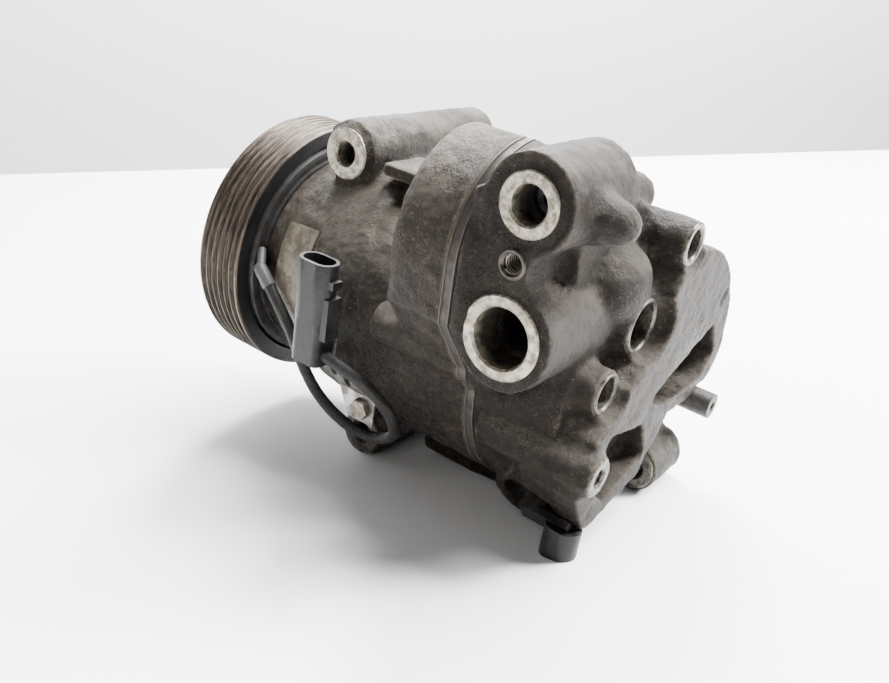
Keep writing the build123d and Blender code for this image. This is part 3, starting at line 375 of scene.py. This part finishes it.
# ---------------------------------------------------------------- threads
# Tapped holes show their thread as a fine bright helix down the wall, dark between the turns.
def tapped_wall(name, centre_mm, axis, radius, pitch, turns):
    """The thread of a tapped hole: a small ridge wound down its wall."""
    line = Vector(axis).normalized()
    side = line.orthogonal().normalized()
    other = line.cross(side)
    steps = 40
    curve = bpy.data.curves.new(name, "CURVE")
    curve.dimensions = "3D"
    curve.bevel_depth = pitch * 0.00033
    curve.bevel_resolution = 1
    spline = curve.splines.new("POLY")
    spline.points.add(steps * turns)
    for step in range(steps * turns + 1):
        angle = 2 * math.pi * step / steps
        out = side * math.cos(angle) + other * math.sin(angle)
        spot = Vector(centre_mm) - line * (1.0 + pitch * step / steps) + out * (radius - 0.1)
        spline.points[step].co = (*(spot / 1000), 1)
    wound = bpy.data.objects.new(name + "_line", curve)
    piece = bpy.data.objects.new(name, bpy.data.meshes.new_from_object(wound))
    bpy.data.objects.remove(wound)
    bpy.context.scene.collection.objects.link(piece)
    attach(piece, "housing")
    paint = Paint(name + "_metal", Metallic=0.8)
    tone = paint.grain(1.2, 4)
    paint.wear("Base Color", paint.mix(tone, (0.30, 0.27, 0.23, 1), (0.07, 0.055, 0.045, 1)))
    paint.wear("Roughness", paint.span(tone, 0.3, 0.7, 0.3, 0.55))
    return dress(piece, paint)


soiled_cut = (0.06, 0.05, 0.04, 1)
machined_ring("port_thread_mouth", (153.8, -77.7, 58.2), to_ports, 5.0, 3.4, 17, dark_cut, soiled_cut)
tapped_wall("port_thread", (153.8, -77.7, 58.2), to_ports, 3.3, 1.25, 12)
tapped_wall("lower_rear_thread", (187, -50, -14), to_rear, 3.3, 1.25, 9)


# ---------------------------------------------------------------- joint between the castings
# A hard steel valve plate between two rubber-coated steel gaskets, clamped by five socket screws.
# Only their edges show: a thin dark line each side of a dull steel one.
def worked_metal(name, pale, dark, patch_mm, rough=(0.3, 0.5), metallic=0.85, dirty=0.4):
    """Steel or worked aluminium: uneven sheen, fine scratches one way and a little dirt."""
    dirt = (0.03, 0.022, 0.016, 1)
    paint = Paint(name, Metallic=metallic)
    cloud = paint.grain(patch_mm, 5, 0.62)
    x, y, z = paint.along("X"), paint.along("Y"), paint.along("Z")
    brushed = paint.node("CombineXYZ", 0, {"X": paint.sum("MULTIPLY", x, 0.08), "Y": y, "Z": z})
    hair = paint.grain(0.5, 3, 0.6, brushed)
    colour = paint.mix(paint.span(cloud, 0.34, 0.66), pale, dark)
    colour = paint.mix(paint.sum("MULTIPLY", paint.span(hair, 0.55, 0.7), 0.35), colour, dark)
    soiled = paint.span(paint.grain(patch_mm * 0.6, 6, 0.7), 0.52, 0.68)
    soiled = paint.sum("MULTIPLY", soiled, dirty)
    paint.wear("Base Color", paint.mix(soiled, colour, dirt))
    paint.wear("Roughness", paint.span(cloud, 0.3, 0.7, *rough))
    paint.relief(paint.sum("ADD", hair, cloud), 0.04, 0.5)
    return paint


def eased(node, width_mm=0.3):
    """Breaks a CAD node's sharp edges with a small bevel, so that they catch the light."""
    piece = nodes[node]
    weld = piece.modifiers.new("weld", "WELD")
    weld.merge_threshold = 0.00001
    flat = piece.modifiers.new("flat", "DECIMATE")
    flat.decimate_type = "DISSOLVE"
    flat.angle_limit = math.radians(0.5)
    edge = piece.modifiers.new("edge", "BEVEL")
    edge.width = width_mm / 1000
    edge.segments = 2
    edge.limit_method = "ANGLE"
    edge.angle_limit = math.radians(40)
    edge.use_clamp_overlap = True
    return piece


steel_plate = worked_metal(
    "valve_plate_steel", (0.045, 0.038, 0.032, 1), (0.02, 0.016, 0.013, 1), 5, (0.5, 0.7), 0.5, dirty=0.7,
)
dress(nodes["valve_plate"], steel_plate)
gasket_coat = Paint("gasket_rubber_coat", Roughness=0.62)
coat = gasket_coat.grain(2.5, 4)
gasket_coat.wear("Base Color", gasket_coat.mix(coat, (0.012, 0.011, 0.010, 1), (0.05, 0.042, 0.034, 1)))
gasket_coat.relief(coat, 0.05)
for gasket in ("front_gasket", "rear_gasket"):
    dress(nodes[gasket], gasket_coat)
zinc_screw = worked_metal(
    "screw_zinc", (0.26, 0.24, 0.20, 1), (0.10, 0.085, 0.065, 1), 3, (0.35, 0.6), dirty=0.75,
)
for screw in ("bracket_screw", "drain_plug"):
    dress(eased(screw, 0.25), zinc_screw)
dark_screw = worked_metal(
    "screw_darkened", (0.026, 0.022, 0.019, 1), (0.012, 0.01, 0.008, 1), 3, (0.45, 0.65), 0.3, dirty=0.7,
)
for screw in ("through_bolts", "relief_valve"):
    dress(eased(screw, 0.25), dark_screw)


# ---------------------------------------------------------------- pulley
# The steel rotor: six V ribs between two rims, turned all over. The belt polished the rib tips; rust
# and rubber dust fill the grooves, and the face towards the coil was painted black.
def pulley_steel():
    """Turned steel: streaks round the rim, bright tips, rusty grooves, black away from the belt."""
    paint = Paint("pulley_rotor_steel", Metallic=0.55)
    shaft, out = paint.round_shaft()
    streak = paint.grain(0.45, 4, 0.65, shaft)
    broad = paint.grain(3.5, 4, 0.6, shaft)
    cloud = paint.grain(14, 6, 0.7)
    tip = paint.span(out, 0.0528, 0.0546)
    rust = paint.mix(paint.span(cloud, 0.38, 0.62), (0.012, 0.008, 0.006, 1), (0.03, 0.02, 0.014, 1))
    bright = paint.mix(paint.span(streak, 0.4, 0.62), (0.10, 0.078, 0.06, 1), (0.02, 0.015, 0.011, 1))
    colour = paint.mix(paint.sum("MULTIPLY", tip, paint.span(broad, 0.3, 0.55, 0.55, 1.0)), rust, bright)
    smeared = paint.sum("MULTIPLY", paint.span(cloud, 0.55, 0.7), 0.5)
    colour = paint.mix(smeared, colour, (0.045, 0.03, 0.02, 1))
    painted = paint.span(out, 0.0512, 0.0502)
    rear_face = paint.span(paint.along("X"), 0.0112, 0.0116)
    back = paint.sum("MULTIPLY", rear_face, paint.span(out, 0.0566, 0.0560))
    chips = paint.span(paint.grain(2.4, 5, 0.7), 0.60, 0.66, 1.0, 0.45)
    black = paint.sum("MULTIPLY", paint.sum("MAXIMUM", painted, back), chips)
    colour = paint.mix(black, colour, (0.012, 0.012, 0.013, 1))
    paint.wear("Base Color", colour)
    rough = paint.span(cloud, 0.3, 0.7, 0.32, 0.55)
    paint.wear("Roughness", paint.sum("ADD", rough, paint.sum("MULTIPLY", black, 0.05)))
    paint.relief(paint.sum("ADD", streak, paint.sum("MULTIPLY", cloud, 0.8)), 0.08, 0.6)
    return paint


dress(eased("pulley_rotor", 0.18), pulley_steel())


# ---------------------------------------------------------------- clutch plate, hub and springs
# The pressed steel armature, its hub and three leaf springs, painted black and worn through at the
# edges. A flanged nut holds the hub on the shaft.
def chipped_black(name, bare):
    """Black paint on steel, dusty and chipped to bare metal along its edges."""
    paint = Paint(name, Metallic=0.1)
    edge = paint.span(paint.node("NewGeometry", "Pointiness", {}), 0.53, 0.58)
    chip = paint.span(paint.grain(1.8, 5, 0.7), 0.5, 0.62)
    cloud = paint.grain(12, 6, 0.65)
    colour = paint.mix(paint.span(cloud, 0.4, 0.65), (0.014, 0.014, 0.015, 1), (0.05, 0.043, 0.036, 1))
    rusty = paint.sum("MULTIPLY", paint.span(paint.grain(3, 5), 0.62, 0.7), 0.7)
    colour = paint.mix(rusty, colour, (0.15, 0.075, 0.04, 1))
    paint.wear("Base Color", paint.mix(paint.sum("MULTIPLY", edge, chip), colour, bare))
    paint.wear("Roughness", paint.span(cloud, 0.3, 0.7, 0.36, 0.6))
    paint.relief(paint.sum("ADD", cloud, chip), 0.06, 0.5)
    return paint


clutch_black = chipped_black("clutch_black_paint", (0.35, 0.31, 0.27, 1))
for pressed in ("armature_plate", "clutch_hub", "armature_springs"):
    dress(eased(pressed, 0.15 if pressed == "armature_springs" else 0.35), clutch_black)
fixing_steel = worked_metal("fixing_steel", (0.5, 0.48, 0.44, 1), (0.24, 0.21, 0.18, 1), 2.5, dirty=0.5)
for fixing in ("hub_rivets", "armature_rivets", "hub_nut"):
    dress(eased(fixing, 0.2), fixing_steel)


# ---------------------------------------------------------------- coil
# The field coil: a grey phosphated steel shell with the winding potted in black resin inside it. It
# is still, and the pulley turns round it.
shell_grey = worked_metal(
    "coil_shell_phosphate", (0.05, 0.049, 0.05, 1), (0.024, 0.022, 0.02, 1), 8, (0.45, 0.7), 0.4, dirty=0.6,
)
dress(eased("coil_shell", 0.3), shell_grey)
resin = Paint("coil_resin", Roughness=0.5)
swirl = resin.grain(4, 5)
resin.wear("Base Color", resin.mix(swirl, (0.012, 0.011, 0.010, 1), (0.05, 0.045, 0.04, 1)))
resin.relief(swirl, 0.1)
dress(nodes["coil_winding"], resin)


# ---------------------------------------------------------------- bearings, seals and rings
# Ground and polished bearing steel, blued spring-steel retaining rings and black moulded rubber.
ground_steel = worked_metal(
    "ground_steel", (0.66, 0.66, 0.66, 1), (0.45, 0.44, 0.43, 1), 4, (0.12, 0.25), 1.0, dirty=0.15,
)
for ground in (
    "bearing_inner_race", "bearing_outer_race", "bearing_balls", "front_radial_bearing",
    "rear_radial_bearing", "thrust_bearing", "rear_thrust_washer", "drive_shaft", "hinge_pin",
    "piston_shoes",
):
    dress(nodes[ground], ground_steel)
blued = worked_metal(
    "blued_spring_steel", (0.16, 0.17, 0.20, 1), (0.07, 0.065, 0.07, 1), 3, (0.25, 0.45), dirty=0.3,
)
for sprung in (
    "bearing_snap_ring", "coil_snap_ring", "seal_snap_ring", "valve_snap_ring", "return_spring",
    "suction_reeds", "discharge_reeds", "check_valve_clip",
):
    dress(nodes[sprung], blued)
rubber = Paint("black_seal_rubber", Roughness=0.7, Specular_IOR_Level=0.35)
bloom = rubber.grain(2, 4)
rubber.wear("Base Color", rubber.mix(bloom, (0.010, 0.010, 0.010, 1), (0.035, 0.034, 0.032, 1)))
rubber.relief(bloom, 0.04)
for sealing in ("bearing_seals", "shaft_seal", "housing_o_ring", "valve_o_rings"):
    dress(nodes[sealing], rubber)


# ---------------------------------------------------------------- works inside the crankcase
# Machined steel plates and aluminium pistons, clean and wet with refrigerant oil.
plate_steel = worked_metal(
    "machined_steel", (0.46, 0.45, 0.43, 1), (0.28, 0.27, 0.25, 1), 6, (0.2, 0.4), dirty=0.1,
)
for steel in ("lug_plate", "swash_plate", "control_valve"):
    dress(nodes[steel], plate_steel)
piston_metal = worked_metal(
    "piston_aluminium", (0.72, 0.71, 0.69, 1), (0.55, 0.54, 0.52, 1), 6, (0.2, 0.35), dirty=0.1,
)
for bored in ["cylinder_block"] + [f"piston_{number}" for number in range(1, 7)]:
    dress(nodes[bored], piston_metal)


# ---------------------------------------------------------------- control valve plug
# The moulded black plug of the electric control valve sits in its bore and hangs below the head.
def moulded_black(name, painted_top_tone, size_mm=6):
    """Glass-filled nylon: near black, faintly grained, and paler on its upward faces as a painted top
    light.
    """
    paint = Paint(name, Specular_IOR_Level=0.25)
    cloud = paint.grain(size_mm, 6, 0.65)
    fine = paint.grain(0.5, 3)
    faded = paint.span(cloud, 0.42, 0.66)
    colour = paint.mix(faded, (0.005, 0.005, 0.0055, 1), (0.018, 0.0175, 0.018, 1))
    # Painted top light: upward faces are mixed towards the pale top colour, as if lit from above.
    up = paint.sum("MULTIPLY", paint.span(paint.facing("Z"), 0.1, 0.9), paint.span(cloud, 0.45, 0.6))
    paint.wear("Base Color", paint.mix(paint.sum("MULTIPLY", up, 0.35), colour, painted_top_tone))
    paint.wear("Roughness", paint.span(cloud, 0.3, 0.7, 0.32, 0.52))
    paint.relief(paint.sum("ADD", fine, cloud), 0.05, 0.6)
    return paint


# The second colour is the painted top light on the plug's upward faces.
plug_plastic = moulded_black("valve_plug_nylon", (0.045, 0.036, 0.027, 1))
for moulded in ("valve_plug", "check_valve_poppet"):
    dress(eased(moulded, 0.4), plug_plastic)


# ---------------------------------------------------------------- connector
# The two-way socket of the clutch lead: black glass-filled nylon with an open oval mouth, two tinned
# blades inside, a latch ramp and two barbs on its side.
# The second colour is the painted top light on the connector's upward faces.
connector_plastic = moulded_black("connector_nylon", (0.05, 0.047, 0.044, 1), 9)
dress(eased("connector_housing", 0.35), connector_plastic)
tinned = worked_metal(
    "tinned_blade", (0.75, 0.74, 0.70, 1), (0.5, 0.49, 0.46, 1), 2, (0.2, 0.35), 1.0, dirty=0.1,
)
dress(nodes["connector_terminals"], tinned)


# ---------------------------------------------------------------- connector bracket
# A pressed strip of zinc-plated sheet steel, slotted and bent to the crankcase's side, held by one
# screw. Its plating is scratched bright on the edges and dull white elsewhere.
zinc_sheet = worked_metal(
    "bracket_zinc", (0.42, 0.41, 0.385, 1), (0.14, 0.125, 0.105, 1), 7, (0.28, 0.5), 0.8, dirty=0.55,
)
dress(eased("connector_bracket", 0.25), zinc_sheet)


# ---------------------------------------------------------------- clutch lead
# Two wires wound with black cloth tape into one lead. It leaves the connector, loops back under the
# bracket and ends in a grey two-legged sleeve at the coil.
lead_route_mm = [
    (70, -67, -9), (82, -66, -11), (93, -62.5, -16), (101, -57.5, -25), (102, -52, -36), (95, -47, -45),
    (83, -46, -50), (70, -48, -47.5), (60, -52, -39), (53, -55, -28), (46, -55, -17), (36, -53.5, -8),
    (27, -52, -1.5),
]
lead_curve = bpy.data.curves.new("clutch_lead_line", "CURVE")
lead_curve.dimensions = "3D"
lead_curve.bevel_depth = 0.0024
lead_curve.bevel_resolution = 6
lead_curve.resolution_u = 24
lead_line = lead_curve.splines.new("NURBS")
lead_line.points.add(len(lead_route_mm) - 1)
for place, point in zip(lead_line.points, lead_route_mm):
    place.co = (*(value / 1000 for value in point), 1)
lead_line.order_u = 3
lead_line.use_endpoint_u = True
lead = bpy.data.objects.new("clutch_lead_taped", lead_curve)
bpy.context.scene.collection.objects.link(lead)
tape = Paint("black_cloth_tape", Specular_IOR_Level=0.3)
weave = tape.grain(0.6, 3)
lap = tape.sum("SINE", tape.sum("MULTIPLY", tape.sum("ADD", tape.along("X"), tape.along("Z")), 900))
worn_weave = tape.span(weave, 0.4, 0.65)
tape.wear("Base Color", tape.mix(worn_weave, (0.005, 0.005, 0.005, 1), (0.022, 0.02, 0.018, 1)))
tape.wear("Roughness", tape.span(weave, 0.3, 0.7, 0.5, 0.75))
tape.relief(tape.sum("ADD", tape.span(lap, 0.6, 0.95), tape.sum("MULTIPLY", weave, 0.6)), 0.25, 0.7)
dress(lead, tape)
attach(lead, "housing")
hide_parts("clutch_lead")
sleeve_grey = Paint("grey_shrink_sleeve", Roughness=0.5)
film = sleeve_grey.grain(3, 5)
sleeve_grey.wear("Base Color", sleeve_grey.mix(film, (0.035, 0.035, 0.037, 1), (0.09, 0.088, 0.086, 1)))
sleeve_grey.relief(film, 0.12)
dress(eased("lead_sleeve", 0.4), sleeve_grey)


# ---------------------------------------------------------------- nose label
# An aged paper label glued round the tapered nose behind the pulley, stained with oil and scuffed.
# It is left blank.
paper = Paint("aged_label_paper", Roughness=0.6)
stains = paper.grain(9, 6, 0.7)
fibre = paper.grain(0.8, 4)
sheet_tone = paper.mix(paper.span(stains, 0.35, 0.62), (0.17, 0.15, 0.115, 1), (0.07, 0.056, 0.038, 1))
scuff = paper.sum("MULTIPLY", paper.span(paper.grain(2.2, 5, 0.7), 0.56, 0.64), 0.8)
paper.wear("Base Color", paper.mix(scuff, sheet_tone, (0.035, 0.027, 0.02, 1)))
paper.relief(paper.sum("ADD", fibre, stains), 0.08)
dress(nodes["nose_label"], paper)


# ---------------------------------------------------------------- table, light and camera
# The compressor lies on its lower sleeve and its rear lug, so the table tips slightly along the
# shaft. Two high soft lamps behind it and a weak one in front give the soft shadows, and one more
# lights the pale wall beyond the table's far edge.
low_sleeve, low_sleeve_r = Vector((69.7, 0, -59.3)), 11.8
rear_lug, rear_lug_r = Vector((175, 0, -42.5)), 11.0
span = rear_lug - low_sleeve
tip = math.atan2(span.z, span.x) - math.asin((rear_lug_r - low_sleeve_r) / span.length)
table_up = Vector((-math.sin(tip), 0, math.cos(tip)))
far_left, far_right = Vector((-0.730, 0.246, -0.205)), Vector((0.012, 1.241, -0.081))
table_edge = (far_right - far_left).normalized()
beyond = table_up.cross(table_edge)
far_middle = (far_left + far_right) / 2
table_turn = Matrix((table_edge, beyond, table_up)).transposed().to_quaternion()
wall_turn = Matrix((table_edge, table_up, -beyond)).transposed().to_quaternion()


def pale_sheet(name, size, place, turn, colour, roughness):
    """A flat pale sheet that only catches light and shadow."""
    mesh = bmesh.new()
    bmesh.ops.create_grid(mesh, x_segments=8, y_segments=8, size=size / 2)
    data = bpy.data.meshes.new(name)
    mesh.to_mesh(data)
    mesh.free()
    sheet = bpy.data.objects.new(name, data)
    sheet.location = place
    sheet.rotation_mode = "QUATERNION"
    sheet.rotation_quaternion = turn
    bpy.context.scene.collection.objects.link(sheet)
    paint = Paint(name + "_paint", Roughness=roughness, Specular_IOR_Level=0.2)
    shade = tuple(value * 0.985 for value in colour[:3]) + (1,)
    paint.wear("Base Color", paint.mix(paint.grain(120, 2), colour, shade))
    dress(sheet, paint)


table_size, wall_size, wall_gap = 6, 8, 0.9
table_middle, wall_middle = far_middle - beyond * table_size / 2, far_middle + beyond * wall_gap
pale_sheet("table", table_size, table_middle, table_turn, (0.93, 0.925, 0.92, 1), 0.55)
pale_sheet("wall", wall_size, wall_middle, wall_turn, (0.90, 0.91, 0.925, 1), 0.8)
centre = (cad_low + cad_high) / 2
right, up = Vector((0.78639, 0.59997, 0.14705)), Vector((-0.36535, 0.25979, 0.89388))
back = right.cross(up)
camera_data = bpy.data.cameras.new("camera")
camera_data.sensor_width = 36
camera_data.lens = 37.165
camera_data.clip_start = 0.01
camera_data.clip_end = 30
camera = bpy.data.objects.new("camera", camera_data)
camera_place = Vector((0.28375, -0.3044, 0.1514))
facing = Matrix((right, up, back)).transposed().to_4x4()
camera.matrix_world = Matrix.Translation(camera_place) @ facing
bpy.context.scene.collection.objects.link(camera)
bpy.context.scene.camera = camera


def lamp(name, place, target, size, power, colour):
    """A soft square lamp that shines at a target."""
    data = bpy.data.lights.new(name, "AREA")
    data.size = size
    data.energy = power
    data.color = colour
    light = bpy.data.objects.new(name, data)
    light.location = place
    light.rotation_mode = "QUATERNION"
    light.rotation_quaternion = (target - Vector(place)).to_track_quat("-Z", "Y")
    bpy.context.scene.collection.objects.link(light)


lamp("window_behind_right", (0.85, 0.75, 1.05), centre, 0.38, 85, (1.0, 0.99, 0.97))
lamp("window_behind_left", (-0.5, 0.75, 1.0), centre, 0.38, 66, (0.98, 0.99, 1.0))
lamp("fill_front", (0.2, -1.3, 0.7), centre, 1.2, 5, (1.0, 0.98, 0.95))
lamp("wall_light", (0.2, 0.9, 1.9), wall_middle, 1.5, 300, (0.98, 0.99, 1.0))
world = bpy.data.worlds.new("pale_room")
world.use_nodes = True
world.node_tree.nodes["Background"].inputs["Color"].default_value = (0.93, 0.94, 0.96, 1)
world.node_tree.nodes["Background"].inputs["Strength"].default_value = 0.12
bpy.context.scene.world = world
